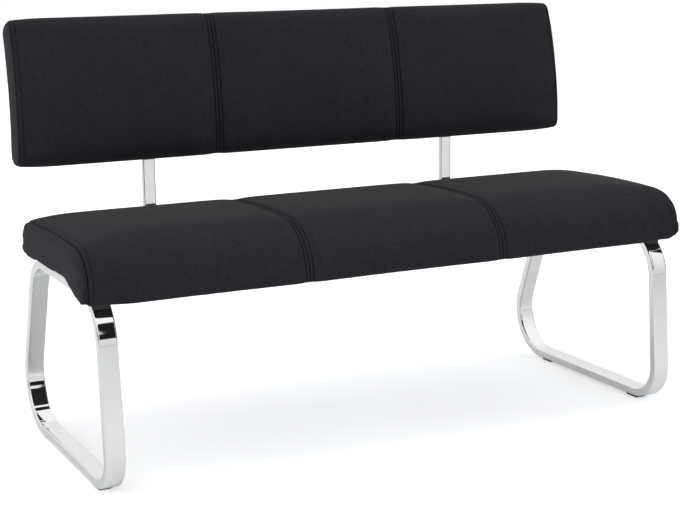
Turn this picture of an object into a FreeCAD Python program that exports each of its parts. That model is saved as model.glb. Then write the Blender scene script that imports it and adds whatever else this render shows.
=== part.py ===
"""Upholstered dining bench on two chromed tube loops, with a padded backrest on two posts.

Millimetres. X runs along the bench, Y from front to back, Z up. The origin is on the floor
under the middle of the bench.
"""
import FreeCAD, Part
import math
import os
import re

import Sketcher
from FreeCAD import Placement, Rotation, Vector

SIZES = {
    # seat pad, seen from its end
    "seat_width": 1400,
    "seat_depth": 442,
    "seat_rear": 152,
    "seat_under": 424,
    "seat_rear_rise": 74,
    "crest_rise": 83,
    "crest_back": 226,
    "nose_rise": 75,
    "lip_drop": 48,
    "lip_set_back": 3,
    "slope_run": 127,
    "rear_low_radius": 12,
    "rear_top_radius": 34,
    "crest_radius": 2500,
    "nose_radius": 80,
    "lip_radius": 20,
    "slope_radius": 40,
    # upholstery forms, shared by seat and backrest
    "seam_offset": 230,
    "seam_dip": 4,
    "seam_ease": 9,
    "pad_crown": 4,
    "end_draw": 8,
    "end_ease": 18,
    "end_panel": 4,
    "end_panel_inset": 10,
    "end_panel_round": 2,
    # seat carcass
    "seat_board": 15,
    "board_front_gap": 3,
    "board_rear_gap": 8,
    "board_end_gap": 14,
    "under_cloth": 1,
    "rail_skin": 4,
    "rail_nose_gap": 22,
    "rail_height": 46,
    # leg loops
    "loop_centre": 656,
    "loop_lead": 14.9,
    "loop_trail": 186.5,
    "tube_width": 40,
    "tube_depth": 20,
    "tube_wall": 2,
    "tube_edge": 4,
    "front_lean": 4.5,
    "rear_lean": 21.2,
    "front_low_bend": 80,
    "front_top_bend": 108,
    "rear_top_bend": 108,
    "rear_low_bend": 115,
    "spacer_height": 20,
    "spacer_width": 32,
    "spacer_length": 44,
    "block_lead": 106,
    "bolt_front_set": 16,
    "bolt_rear_set": 31.8,
    # floor glides
    "glide_height": 5,
    "glide_width": 30,
    "glide_length": 40,
    "glide_corner": 6,
    "glide_bevel": 1,
    "glide_front_set": 99.9,
    "glide_rear_set": 190.5,
    # backrest, measured from its lower front face
    "back_width": 1380,
    "back_gap": 26,
    "back_thickness": 78,
    "back_rise": 166,
    "knee_rise": 175,
    "back_upper": 157,
    "back_lean": 19.2,
    "back_curve": 700,
    "back_corner": 25,
    "back_board_set": 33,
    "back_board": 12,
    "back_board_margin": 12,
    # posts
    "post_centre": 385,
    "post_width": 28,
    "post_depth": 15,
    "post_wall": 1.5,
    "post_edge": 3,
    "post_bend": 60,
    "post_run_lead": 40,
    "post_upper": 128,
    "post_bolt_pitch": 120,
    "post_bolt_set": 54,
    "post_screw_rise": 23,
    "post_screw_pitch": 28,
    "plug_flange": 3,
    "plug_depth": 14,
    # fasteners and fits
    "leg_bolt": 8,
    "post_bolt": 6,
    "wood_screw": 4.5,
    "glide_screw": 4,
    "washer": 1.6,
    "nut_flange": 1.6,
    "hole_clearance": 0.4,
    "slot_clearance": 0.4,
    "screw_room": 4.5,
}

doc = FreeCAD.newDocument("dining_bench")
sheet = doc.addObject("Spreadsheet::Sheet", "Sizes")
for row, (alias, value) in enumerate(SIZES.items(), 1):
    sheet.set(f"A{row}", alias)
    sheet.set(f"B{row}", str(value))
    sheet.setAlias(f"B{row}", alias)
doc.recompute()

ALIAS = re.compile(r"\b(" + "|".join(SIZES) + r")\b")
nodes = {}

# Places that several pieces share, worked out from the driving sizes
PLACES = {
    "seat_front": "seat_rear - seat_depth",
    "seat_rear_top": "seat_under + seat_rear_rise",
    "seat_crest": "seat_under + crest_rise",
    "nose_top": "seat_under + nose_rise",
    "lip_low": "seat_under - lip_drop",
    "pad_end": "seat_width / 2 - end_panel",
    "lip_front": "seat_front + lip_set_back",
    "slope_end": "lip_front + slope_run",
    "slope_rate": "(seat_under - lip_low) / slope_run",
    "board_low": "seat_under + under_cloth",
    "board_top": "board_low + seat_board",
    "board_front": "slope_end + board_front_gap",
    "board_rear": "seat_rear - board_rear_gap",
    "board_half": "seat_width / 2 - board_end_gap",
    "loop_top": "seat_under - spacer_height",
    "loop_rise": "loop_top - glide_height",
    "block_front": "bolt_front - block_lead",
    "back_split": "back_board_set + back_board",
    "back_end": "back_width / 2 - end_panel",
    "post_rear": "back_split + post_depth",
    "loop_front": "seat_front - loop_lead",
    "loop_rear": "seat_rear + loop_trail",
    "bolt_front": "slope_end + bolt_front_set",
    "run_rear": "loop_rear - loop_rise * tan(rear_lean) - rear_top_bend * tan(45 - rear_lean / 2)",
    "bolt_rear": "run_rear - bolt_rear_set",
    "glide_front": "loop_front + glide_front_set",
    "glide_rear": "loop_rear - glide_rear_set",
    "back_front": "seat_rear + back_gap",
    "back_low": "seat_under + back_rise",
    "back_knee": "back_low + knee_rise",
    "post_bolt_rear": "seat_rear - post_bolt_set",
    "post_bolt_front": "post_bolt_rear - post_bolt_pitch",
    "post_run_front": "post_bolt_front - post_run_lead",
    "post_screw_low": "back_low + post_screw_rise",
}

PLACE = re.compile(r"\b(" + "|".join(PLACES) + r")\b")


def bound(expression):
    """The expression with every place worked out and every size pointing at its cell."""
    while PLACE.search(expression):
        expression = PLACE.sub(lambda place: f"({PLACES[place.group()]})", expression)
    return ALIAS.sub(r"Sizes.\1", expression)


def number(expression):
    """The expression's present value."""
    return float(sheet.evalExpression(bound(expression)))


def bind(obj, **properties):
    """Ties properties of an object to expressions; a double underscore stands for a dot."""
    for name, expression in properties.items():
        obj.setExpression(name.replace("__", "."), bound(expression))


def keep(name, obj):
    """Marks an object as one sub-part of the bench."""
    obj.Label = name
    nodes[name] = obj
    return obj


def corner_arc(before, corner, after, radius):
    """Tangent points and centre of a round corner, and whether it turns to the left."""
    into = (before - corner).normalize()
    out = (after - corner).normalize()
    half = into.getAngle(out) / 2
    reach = radius / math.tan(half)
    centre = corner + (into + out).normalize() * (radius / math.sin(half))
    left = (corner - before).cross(after - corner).z > 0
    return corner + into * reach, corner + out * reach, centre, left


def outline(sketch, corners):
    """Adds a closed outline to a sketch: corners given as (across, up, radius or None) expressions."""
    points = [Vector(number(across), number(up), 0) for across, up, _ in corners]
    radii = [number(radius) if radius else 0 for _, _, radius in corners]
    count = len(corners)
    starts, ends, arcs = list(points), list(points), {}
    for i in range(count):
        if radii[i]:
            after = points[(i + 1) % count]
            enter, leave, centre, left = corner_arc(points[i - 1], points[i], after, radii[i])
            ends[i], starts[i] = enter, leave
            first, last = (enter, leave) if left else (leave, enter)
            angles = [math.atan2(p.y - centre.y, p.x - centre.x) for p in (first, last)]
            if angles[1] < angles[0]:
                angles[1] += 2 * math.pi
            circle = Part.Circle(centre, Vector(0, 0, 1), radii[i])
            arcs[i] = (Part.ArcOfCircle(circle, *angles), left)
    for i in range(count):
        along = points[(i + 1) % count] - points[i]
        if (ends[(i + 1) % count] - starts[i]).dot(along) <= 0:
            raise ValueError(f"{sketch.Name}: the round corners after {corners[i]} overlap")
    lines = [
        sketch.addGeometry(Part.LineSegment(starts[i], ends[(i + 1) % count]), False) for i in range(count)
    ]
    constraints, bindings = [], []

    def place(geometry, position, i):
        for kind, value, expression in (
            ("DistanceX", points[i].x, corners[i][0]),
            ("DistanceY", points[i].y, corners[i][1]),
        ):
            bindings.append((len(constraints), expression))
            constraints.append(Sketcher.Constraint(kind, -1, 1, geometry, position, value))

    for i in range(count):
        before, after = lines[i - 1], lines[i]
        if not radii[i]:
            constraints.append(Sketcher.Constraint("Coincident", before, 2, after, 1))
            place(after, 1, i)
            continue
        shape, left = arcs[i]
        arc = sketch.addGeometry(shape, False)
        tip = sketch.addGeometry(Part.Point(points[i]), True)
        enter, leave = (1, 2) if left else (2, 1)
        constraints.append(Sketcher.Constraint("Tangent", before, 2, arc, enter))
        constraints.append(Sketcher.Constraint("Tangent", arc, leave, after, 1))
        constraints.append(Sketcher.Constraint("PointOnObject", tip, 1, before))
        constraints.append(Sketcher.Constraint("PointOnObject", tip, 1, after))
        place(tip, 1, i)
        bindings.append((len(constraints), corners[i][2]))
        constraints.append(Sketcher.Constraint("Radius", arc, radii[i]))
    first = sketch.ConstraintCount
    sketch.addConstraint(constraints)
    for index, expression in bindings:
        sketch.setExpression(f"Constraints[{first + index}]", bound(expression))


def body_sketch(body, name, plane="YZ_Plane", offset="0"):
    """A sketch on one of the body's origin planes, moved off it by an expression."""
    sketch = body.newObject("Sketcher::SketchObject", name)
    base = [feature for feature in body.Origin.OriginFeatures if feature.Role == plane][0]
    sketch.AttachmentSupport = [(base, "")]
    sketch.MapMode = "FlatFace"
    bind(sketch, AttachmentOffset__Base__z=offset)
    return sketch


def new_body(name, across="0"):
    """An empty body whose own origin is moved along the bench."""
    body = doc.addObject("PartDesign::Body", name)
    bind(body, Placement__Base__x=across)
    return body


def pad(body, sketch, length):
    """A pad of a sketch, half to each side of its plane."""
    feature = body.newObject("PartDesign::Pad", sketch.Name + "_pad")
    feature.Profile = sketch
    feature.SideType = "Symmetric"
    bind(feature, Length=length)
    sketch.Visibility = False
    doc.recompute()
    return feature


def profile_bar(name, wires, length, across="0"):
    """A bar along X with the given closed outlines as its section."""
    body = new_body(name, across)
    sketch = body_sketch(body, name + "_section")
    for corners in wires:
        outline(sketch, corners)
    pad(body, sketch, length)
    return body


def round_side_edges(body, half_width, radius):
    """Rounds the edges of a bar that lie in its two end planes."""
    base = body.Tip
    reach = number(half_width)
    edges = [
        f"Edge{i}"
        for i, edge in enumerate(base.Shape.Edges, 1)
        if abs(abs(edge.CenterOfMass.x) - reach) < 0.01
    ]
    fillet = body.newObject("PartDesign::Fillet", body.Name + "_rounded")
    fillet.Base = (base, edges)
    bind(fillet, Radius=radius)
    doc.recompute()
    return fillet


def loft(name, stations):
    """A ruled loft through outlines at stations (place along X, corners)."""
    body = new_body(name)
    sections = []
    for i, (across, corners) in enumerate(stations):
        sketch = body_sketch(body, f"{name}_section_{i}", offset=across)
        outline(sketch, corners)
        sections.append(sketch)
    doc.recompute()
    feature = body.newObject("PartDesign::AdditiveLoft", name + "_loft")
    feature.Profile = sections[0]
    feature.Sections = sections[1:]
    feature.Ruled = True
    doc.recompute()
    return body


def cylinder(name, radius, height, x, y, z, turn=None):
    """A cylinder on a point, upright or turned to point backwards along Y."""
    rod = doc.addObject("Part::Cylinder", name)
    if turn == "back":
        rod.Placement = Placement(Vector(), Rotation(Vector(1, 0, 0), -90))
    bind(rod, Radius=radius, Height=height, Placement__Base__x=x, Placement__Base__y=y, Placement__Base__z=z)
    return rod


def block(name, x, y, z, length, width, height):
    """A box from its lowest corner."""
    box = doc.addObject("Part::Box", name)
    bind(box, Length=length, Width=width, Height=height)
    bind(box, Placement__Base__x=x, Placement__Base__y=y, Placement__Base__z=z)
    return box


def cut(name, base, *tools):
    """The base with every tool taken away."""
    tool = tools[0]
    if len(tools) > 1:
        tool = doc.addObject("Part::MultiFuse", name + "_tools")
        tool.Shapes = list(tools)
    result = doc.addObject("Part::Cut", name + "_cut")
    result.Base = base
    result.Tool = tool
    result.Refine = False
    return result


def fuse(name, *pieces):
    """Pieces made into one solid."""
    result = doc.addObject("Part::MultiFuse", name + "_fused")
    result.Shapes = list(pieces)
    return result


def group(name, pieces):
    """Identical fasteners kept together as separate solids."""
    result = doc.addObject("Part::Compound", name + "_group")
    result.Links = pieces
    return keep(name, result)


SIDES = (("left", "-1"), ("right", "1"))
# How far a cutting shape runs past what it cuts, and how far a fastener's tip stays inside its board
OVERRUN = "1"
TIP_GAP = "2"


# Leg loops: a closed trapezoid of flat tube with rounded corners
def loop_corners(inset):
    """The loop's outline in the YZ plane, moved inwards from the outer face."""
    corners = []
    for height, front_bend, rear_bend in (
        (f"(glide_height + {inset})", "front_low_bend", "rear_low_bend"),
        (f"(loop_top - {inset})", "front_top_bend", "rear_top_bend"),
    ):
        rise = f"({height} - glide_height)"
        front = f"loop_front + {rise} * tan(front_lean) + {inset} / cos(front_lean)"
        rear = f"loop_rear - {rise} * tan(rear_lean) - {inset} / cos(rear_lean)"
        corners.append((front, height, f"{front_bend} - {inset}"))
        corners.append((rear, height, f"{rear_bend} - {inset}"))
    return [corners[0], corners[1], corners[3], corners[2]]


def leg_loop(side, sign):
    across = f"{sign} * loop_centre"
    tube = profile_bar(
        f"{side}_loop_tube", [loop_corners("0"), loop_corners("tube_depth")], "tube_width", across
    )
    round_side_edges(tube, "tube_width / 2", "tube_edge")
    bore = profile_bar(
        f"{side}_loop_bore",
        [loop_corners("tube_wall"), loop_corners("(tube_depth - tube_wall)")],
        "tube_width - 2 * tube_wall",
        across,
    )
    holes = []
    for place in ("bolt_front", "bolt_rear"):
        low = f"loop_top - tube_depth - {OVERRUN}"
        hole, depth = "(leg_bolt + hole_clearance) / 2", f"tube_depth + 2 * {OVERRUN}"
        holes.append(cylinder(f"{side}_{place}_hole", hole, depth, across, place, low))
    for place in ("glide_front", "glide_rear"):
        low = f"glide_height - {OVERRUN}"
        hole, depth = "(glide_screw + hole_clearance) / 2", f"tube_wall + 2 * {OVERRUN}"
        holes.append(cylinder(f"{side}_{place}_hole", hole, depth, across, place, low))
    keep(f"leg_loop_{side}", cut(f"{side}_loop", tube, bore, *holes))
    return tube


loop_tubes = {side: leg_loop(side, sign) for side, sign in SIDES}


# Front blocks and rear spacers between the loops and the seat
def front_block(side, sign):
    across = f"{sign} * loop_centre"
    rise = "(loop_rise - front_top_bend)"
    arc_y = f"(loop_front + {rise} * tan(front_lean) + front_top_bend / cos(front_lean))"
    arc_z = "(loop_top - front_top_bend)"
    arc_at_front = f"({arc_z} + sqrt(front_top_bend ^ 2 - (block_front - {arc_y}) ^ 2))"
    inside_tube = "tube_depth / 4"
    rear = "bolt_front + spacer_length / 2"
    corners = [
        ("block_front", f"{arc_at_front} - {inside_tube}", None),
        (arc_y, "loop_top - tube_depth / 2", None),
        (rear, "loop_top - tube_depth / 2", None),
        (rear, "seat_under", None),
        ("slope_end", "seat_under", "slope_radius"),
        ("block_front", "lip_low + (block_front - lip_front) * slope_rate", None),
    ]
    blank = profile_bar(f"{side}_block_blank", [corners], "spacer_width", across)
    hole = cylinder(
        f"{side}_block_hole",
        "(leg_bolt + hole_clearance) / 2",
        "spacer_height + tube_depth",
        across,
        "bolt_front",
        "loop_top - tube_depth / 2",
    )
    keep(f"front_block_{side}", cut(f"{side}_block", blank, loop_tubes[side], hole))


def rear_spacer(side, sign):
    across = f"{sign} * loop_centre"
    slab = block(
        f"{side}_spacer_slab",
        f"{across} - spacer_width / 2",
        "bolt_rear - spacer_length / 2",
        "loop_top",
        "spacer_width",
        "spacer_length",
        "spacer_height",
    )
    hole = cylinder(
        f"{side}_spacer_hole",
        "(leg_bolt + hole_clearance) / 2",
        "spacer_height",
        across,
        "bolt_rear",
        "loop_top",
    )
    keep(f"rear_spacer_{side}", cut(f"{side}_spacer", slab, hole))


for side, sign in SIDES:
    front_block(side, sign)
    rear_spacer(side, sign)


# Floor glides: thin rounded pads screwed under the bottom runs
GLIDE_SCREW_HEAD = "0.95 * glide_screw"
GLIDE_SEAT = "glide_height * 0.55"
GLIDE_SCREW_RECESS = "0.8"


def glide(end, side, sign):
    name = f"glide_{end}_{side}"
    body = new_body(name + "_pad", f"{sign} * loop_centre")
    bind(body, Placement__Base__y=f"glide_{end}")
    sketch = body_sketch(body, name + "_plan", "XY_Plane", "glide_height / 2")
    half_x, half_y = "glide_width / 2", "glide_length / 2"
    outline(
        sketch,
        [
            (f"-{half_x}", f"-{half_y}", "glide_corner"),
            (half_x, f"-{half_y}", "glide_corner"),
            (half_x, half_y, "glide_corner"),
            (f"-{half_x}", half_y, "glide_corner"),
        ],
    )
    slab = pad(body, sketch, "glide_height")
    low = [f"Edge{i}" for i, edge in enumerate(slab.Shape.Edges, 1) if edge.CenterOfMass.z < 0.01]
    bevel = body.newObject("PartDesign::Chamfer", name + "_bevel")
    bevel.Base = (slab, low)
    bind(bevel, Size="glide_bevel")
    place = (f"{sign} * loop_centre", f"glide_{end}")
    hole = cylinder(
        name + "_hole", "(glide_screw + hole_clearance) / 2", f"glide_height + {OVERRUN}", *place, "0"
    )
    recess = cylinder(name + "_recess", f"{GLIDE_SCREW_HEAD} + hole_clearance", GLIDE_SEAT, *place, "0")
    keep(name, cut(name, body, hole, recess))
    head_height = f"{GLIDE_SEAT} - {GLIDE_SCREW_RECESS}"
    head = cylinder(name + "_screw_head", GLIDE_SCREW_HEAD, head_height, *place, GLIDE_SCREW_RECESS)
    shank = cylinder(name + "_screw_shank", "glide_screw / 2", "glide_height + tube_wall", *place, GLIDE_SEAT)
    return fuse(name + "_screw", head, shank)


group("glide_screws", [glide(end, *which) for end in ("front", "rear") for which in SIDES])


# Seat pad: three sewn sections of one waterfall profile
def seat_corners(draw="0", swell="0"):
    """The seat's end outline, drawn in all round or swollen at its top and front."""
    front = f"({draw} - 0.5 * {swell})"
    low = f"0.4 * {draw}"
    tighter = f"0.8 * {draw}"
    return [
        (f"seat_rear - {draw}", f"seat_under + {low}", "rear_low_radius"),
        (f"seat_rear - {draw}", f"seat_rear_top - {draw} + 0.4 * {swell}", "rear_top_radius"),
        ("seat_rear - crest_back", f"seat_crest - {draw} + {swell}", "crest_radius"),
        (f"seat_front + {front}", f"nose_top - {draw} + {swell}", f"nose_radius - {tighter}"),
        (f"lip_front + {front}", f"lip_low + {low}", f"lip_radius - 0.4 * {tighter}"),
        ("slope_end", f"seat_under + {low}", "slope_radius"),
    ]


# Where the swelling of a section is measured, as shares of its width: a parabola with its top halfway
CROWN_STATIONS = (0.2, 0.5, 0.8)
# What is left of an edge's draw a third of the way to the full padding
EASE_SHARE = 0.3


def edge_stations(outline_at, edge, inward, ease, draw):
    """Stations from a drawn-in edge to where the padding is full."""
    return [
        (edge, outline_at(draw=draw)),
        (f"{edge} + {inward} * {ease} / 3", outline_at(draw=f"({EASE_SHARE} * {draw})")),
        (f"{edge} + {inward} * {ease}", outline_at()),
    ]


def padded_stations(outline_at, low, high):
    """Stations of a padded section between two edges, each given as (place, ease, draw)."""
    stations = edge_stations(outline_at, low[0], "1", *low[1:])
    for part in CROWN_STATIONS:
        swell = f"({4 * part * (1 - part)} * pad_crown)"
        stations.append((f"{low[0]} + {part} * ({high[0]} - {low[0]})", outline_at(swell=swell)))
    return stations + edge_stations(outline_at, high[0], "-1", *high[1:])[::-1]


def bench_end(place):
    return place, "end_ease", "end_draw"


def seam(place):
    return place, "seam_ease", "seam_dip"


def three_sections(prefix, outline_at, end, carcass):
    """The left, centre and right padded sections, hollowed for what they are stretched over."""
    spans = {
        "left": (bench_end(f"-{end}"), seam("-seam_offset")),
        "centre": (seam("-seam_offset"), seam("seam_offset")),
        "right": (seam("seam_offset"), bench_end(end)),
    }
    for side, edges in spans.items():
        name = f"{prefix}_{side}"
        padding = loft(name + "_padding", padded_stations(outline_at, *edges))
        keep(name, cut(name, padding, carcass))


def seat_core_corners():
    """The outline of the board and the front rail together, open below for the cloth."""
    below = "5 * under_cloth"
    return [
        ("board_rear", f"seat_under - {below}", None),
        ("board_rear", "board_top", None),
        ("board_front", "board_top", None),
        *rail_corners()[2:],
        ("board_front", "board_low", None),
        ("board_front", f"seat_under - {below}", None),
    ]


def rail_corners():
    """The front rail's section: its rear face on the board, its underside along the lip's slope."""
    front = "lip_front + rail_nose_gap"
    under = "lip_low + rail_skin + rail_nose_gap * slope_rate"
    return [
        ("board_front", "board_low", None),
        ("board_front", "board_top", None),
        (front, f"{under} + rail_height", None),
        (front, under, None),
        ("slope_end - rail_skin", "seat_under + rail_skin / 2", None),
    ]


seat_core = profile_bar("seat_core", [seat_core_corners()], "2 * board_half")
three_sections("seat_pad", seat_corners, "pad_end", seat_core)


# End panels close the ends of the pads
def end_panel(name, corners, place, outward):
    body = new_body(name + "_panel")
    sketch = body_sketch(body, name + "_outline", offset=place)
    outline(sketch, corners)
    slab = pad(body, sketch, "end_panel")
    face = number(place) + outward * number("end_panel") / 2
    rim = [
        f"Edge{i}"
        for i, edge in enumerate(slab.Shape.Edges, 1)
        if abs(edge.CenterOfMass.x - face) < 0.01
    ]
    fillet = body.newObject("PartDesign::Fillet", name + "_rounded")
    fillet.Base = (slab, rim)
    bind(fillet, Radius="end_panel_round")
    keep(name, body)


for side, sign in SIDES:
    middle = f"{sign} * (seat_width / 2 - end_panel / 2)"
    end_panel(f"seat_end_{side}", seat_corners(draw="end_panel_inset"), middle, float(sign))


# Seat carcass: board, front rail and the cloth beneath
def board_places():
    """Every bolt through the board as (name, across, along, bolt size)."""
    for side, sign in SIDES:
        for place in ("bolt_front", "bolt_rear"):
            yield f"leg_{side}_{place}", f"{sign} * loop_centre", place, "leg_bolt"
        for place in ("post_bolt_front", "post_bolt_rear"):
            yield f"post_{side}_{place}", f"{sign} * post_centre", place, "post_bolt"


# Shares of a bolt's diameter, and the wall of a tee nut's barrel
NUT_WALL = 1.5
NUT_FLANGE_RATIO = 2.6
HEAD_RADIUS = 0.85
HEAD_HEIGHT = 0.6
SOCKET_RADIUS = 0.4
WASHER_RADIUS = 1.1

board_slab = block(
    "board_slab",
    "-board_half",
    "board_front",
    "board_low",
    "2 * board_half",
    "board_rear - board_front",
    "seat_board",
)
board_holes, cloth_holes = [], []
for label, x, y, size in board_places():
    bore = f"({size} / 2 + {NUT_WALL} + hole_clearance / 2)"
    flange = f"({size} * {NUT_FLANGE_RATIO} / 2 + hole_clearance / 2)"
    board_holes.append(cylinder(label + "_bore", bore, "seat_board", x, y, "board_low"))
    sunk = "board_top - nut_flange"
    board_holes.append(cylinder(label + "_sink", flange, "nut_flange", x, y, sunk))
    clear = f"({size} + hole_clearance) / 2"
    cloth_holes.append(cylinder(label + "_cloth_hole", clear, "under_cloth", x, y, "seat_under"))
keep("seat_board", cut("seat_board", board_slab, *board_holes))
keep("seat_front_rail", profile_bar("seat_rail", [rail_corners()], "2 * board_half"))
cloth_slab = block(
    "cloth_slab",
    "-board_half",
    "board_front",
    "seat_under",
    "2 * board_half",
    "board_rear - board_front",
    "under_cloth",
)
keep("seat_underside_cover", cut("seat_underside_cover", cloth_slab, *cloth_holes))


# Bolts, washers and tee nuts that hold the loops and the posts to the board
def bolt(name, size, x, y, seat, top):
    """A socket-head bolt whose head hangs below its seat."""
    head_height = f"({HEAD_HEIGHT} * {size})"
    head_low = f"{seat} - {head_height}"
    head = cylinder(name + "_head", f"{HEAD_RADIUS} * {size}", head_height, x, y, head_low)
    shank = cylinder(name + "_shank", f"{size} / 2", f"{top} - {seat}", x, y, seat)
    socket = doc.addObject("Part::Prism", name + "_socket")
    socket.Polygon = 6
    bind(socket, Circumradius=f"{SOCKET_RADIUS} * {size}", Height=f"{head_height} / 2")
    bind(socket, Placement__Base__x=x, Placement__Base__y=y, Placement__Base__z=head_low)
    return cut(name, fuse(name, head, shank), socket)


def tee_nut(name, size, x, y):
    """A barrel in the board's hole with a flange sunk into its top."""
    flange_low = "(board_top - nut_flange)"
    barrel_low, barrel_height = f"board_low + {TIP_GAP}", f"seat_board - {TIP_GAP}"
    barrel = cylinder(name + "_barrel", f"{size} / 2 + {NUT_WALL}", barrel_height, x, y, barrel_low)
    flange = cylinder(name + "_flange", f"{size} * {NUT_FLANGE_RATIO} / 2", "nut_flange", x, y, flange_low)
    thread = cylinder(name + "_thread", f"({size} + hole_clearance) / 2", "seat_board", x, y, "board_low")
    return cut(name, fuse(name, barrel, flange), thread)


def washer_ring(name, size, x, y, low):
    disc = cylinder(name + "_disc", f"{WASHER_RADIUS} * {size}", "washer", x, y, low)
    hole = cylinder(name + "_eye", f"({size} + hole_clearance) / 2", "washer", x, y, low)
    return cut(name, disc, hole)


bolts = {"leg_bolt": [], "post_bolt": []}
nuts = {"leg_bolt": [], "post_bolt": []}
washers = []
for label, x, y, size in board_places():
    tube_low = "(loop_top - tube_depth)" if size == "leg_bolt" else "(seat_under - post_depth)"
    seat = tube_low
    if size == "leg_bolt":
        seat = f"({tube_low} - washer)"
        washers.append(washer_ring(label + "_washer", size, x, y, seat))
    bolts[size].append(bolt(label + "_bolt", size, x, y, seat, f"(board_top - {TIP_GAP})"))
    nuts[size].append(tee_nut(label + "_nut", size, x, y))
group("leg_bolts", bolts["leg_bolt"])
group("leg_washers", washers)
group("leg_tee_nuts", nuts["leg_bolt"])
group("post_bolts", bolts["post_bolt"])
group("post_tee_nuts", nuts["post_bolt"])


# Backrest: offsets run backwards from the lower front face, which bends at a knee and leans back
def knee_point(depth):
    """Where the front face, moved back by a depth, would bend if its bend were sharp."""
    return f"back_front + {depth}", f"back_knee - {depth} * tan(back_lean / 2)"


def back_along(depth, upper):
    """A point above the knee: some way up the lean and some way behind the front face."""
    across = f"back_front + {upper} * sin(back_lean) + {depth} * cos(back_lean)"
    height = f"back_knee + {upper} * cos(back_lean) - {depth} * sin(back_lean)"
    return across, height


def back_slice(front, rear, low, upper, front_radius, rear_radius):
    """The backrest's section between two depths, with round corners on the outer edges."""
    return [
        (f"back_front + {rear}", low, rear_radius),
        (*knee_point(rear), f"back_curve - {rear}"),
        (*back_along(rear, upper), rear_radius),
        (*back_along(front, upper), front_radius),
        (*knee_point(front), f"back_curve - {front}"),
        (f"back_front + {front}", low, front_radius),
    ]


def back_pad_corners(draw="0", swell="0"):
    front = f"({draw} - {swell})"
    corner = f"(back_corner - 0.6 * {draw})"
    return back_slice(front, "back_split", f"back_low + {draw}", f"(back_upper - {draw})", corner, None)


# The most of the rear pad's thickness that its rounded edges may take
ROUND_SHARE = 0.8


def rear_pad_corners(draw="0", swell="0"):
    rear = f"(back_thickness - {draw} + 0.5 * {swell})"
    corner = f"min(back_corner - 0.6 * {draw}; {ROUND_SHARE} * ({rear} - back_split))"
    return back_slice("back_split", rear, f"back_low + {draw}", f"(back_upper - {draw})", None, corner)


back_board_blank = profile_bar(
    "back_board_blank",
    [
        back_slice(
            "back_board_set",
            "back_split",
            "back_low + back_board_margin",
            "(back_upper - back_board_margin)",
            None,
            None,
        )
    ],
    "back_width - 2 * back_board_margin",
)
three_sections("backrest_pad", back_pad_corners, "back_end", back_board_blank)


# Posts: flat tube that runs forward under the seat, bends up behind it and follows the backrest
def post_corners(inset, overrun):
    """The post's outline, moved inwards by inset and run past both its ends by overrun."""
    front = f"(back_split + {inset})"
    rear = f"(post_rear - {inset})"
    low, high = f"seat_under - post_depth + {inset}", f"seat_under - {inset}"
    start, upper = f"post_run_front - {overrun}", f"(post_upper + {overrun})"
    return [
        (start, low, None),
        (f"back_front + {rear}", low, f"post_bend - {inset}"),
        (*knee_point(rear), f"back_curve - {rear}"),
        (*back_along(rear, upper), None),
        (*back_along(front, upper), None),
        (*knee_point(front), f"back_curve - {front}"),
        (f"back_front + {front}", high, f"post_bend - post_depth + {inset}"),
        (start, high, None),
    ]


def slot_corners():
    """The room that a post and its screw heads take in the rear pad."""
    rear = "(post_rear + screw_room)"
    low = "back_low - back_corner"
    upper = "(post_upper + slot_clearance)"
    return back_slice("back_split", rear, low, upper, None, None)


def back_screw_places(side):
    """The screws that hold a post to the backrest's board, as (name, height)."""
    for step in range(2):
        yield f"{side}_back_screw_{step}", f"post_screw_low + {step} * post_screw_pitch"


def post(side, across):
    tube = profile_bar(f"{side}_post_tube", [post_corners("0", "0")], "post_width", across)
    round_side_edges(tube, "post_width / 2", "post_edge")
    bore = profile_bar(
        f"{side}_post_bore", [post_corners("post_wall", OVERRUN)], "post_width - 2 * post_wall", across
    )
    holes = []
    for place in ("post_bolt_front", "post_bolt_rear"):
        low = f"seat_under - post_depth - {OVERRUN}"
        radius, depth = "(post_bolt + hole_clearance) / 2", f"post_depth + 2 * {OVERRUN}"
        holes.append(cylinder(f"{side}_{place}_hole", radius, depth, across, place, low))
    for label, height in back_screw_places(side):
        holes.append(screw_hole(label + "_hole", across, height))
    keep(f"post_{side}", cut(f"{side}_post", tube, bore, *holes))


def screw_hole(name, across, height):
    """A hole right through the post and the backrest's board."""
    start = f"back_front + back_board_set - {OVERRUN}"
    run = f"back_board + post_depth + 2 * {OVERRUN}"
    return cylinder(name, "(wood_screw + hole_clearance) / 2", run, across, start, height, "back")


def back_screw(name, across, height):
    """A screw with its head on the post's rear face and its tip inside the board."""
    head_face = "back_front + post_rear"
    reach = f"(post_depth + back_board - {TIP_GAP})"
    start = f"{head_face} - {reach}"
    shank = cylinder(name + "_shank", "wood_screw / 2", reach, across, start, height, "back")
    head = cylinder(name + "_head", "wood_screw", "screw_room / 2", across, head_face, height, "back")
    return fuse(name, shank, head)


def post_plug(side, across):
    """A flange that closes the post's front end and a stem inside the tube."""
    flange = block(
        f"{side}_plug_flange",
        f"{across} - post_width / 2",
        "post_run_front - plug_flange",
        "seat_under - post_depth",
        "post_width",
        "plug_flange",
        "post_depth",
    )
    gap = "(post_wall + slot_clearance / 2)"
    stem = block(
        f"{side}_plug_stem",
        f"{across} - post_width / 2 + {gap}",
        "post_run_front",
        f"seat_under - post_depth + {gap}",
        f"post_width - 2 * {gap}",
        "plug_depth",
        f"post_depth - 2 * {gap}",
    )
    keep(f"post_plug_{side}", fuse(f"{side}_plug", flange, stem))


post_slots, back_screws, board_pilots = [], [], []
for side, sign in SIDES:
    across = f"{sign} * post_centre"
    post(side, across)
    post_plug(side, across)
    slot_width = "post_width + 2 * slot_clearance"
    post_slots.append(profile_bar(f"{side}_post_slot", [slot_corners()], slot_width, across))
    for label, height in back_screw_places(side):
        back_screws.append(back_screw(label, across, height))
        board_pilots.append(screw_hole(label + "_pilot", across, height))

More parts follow.
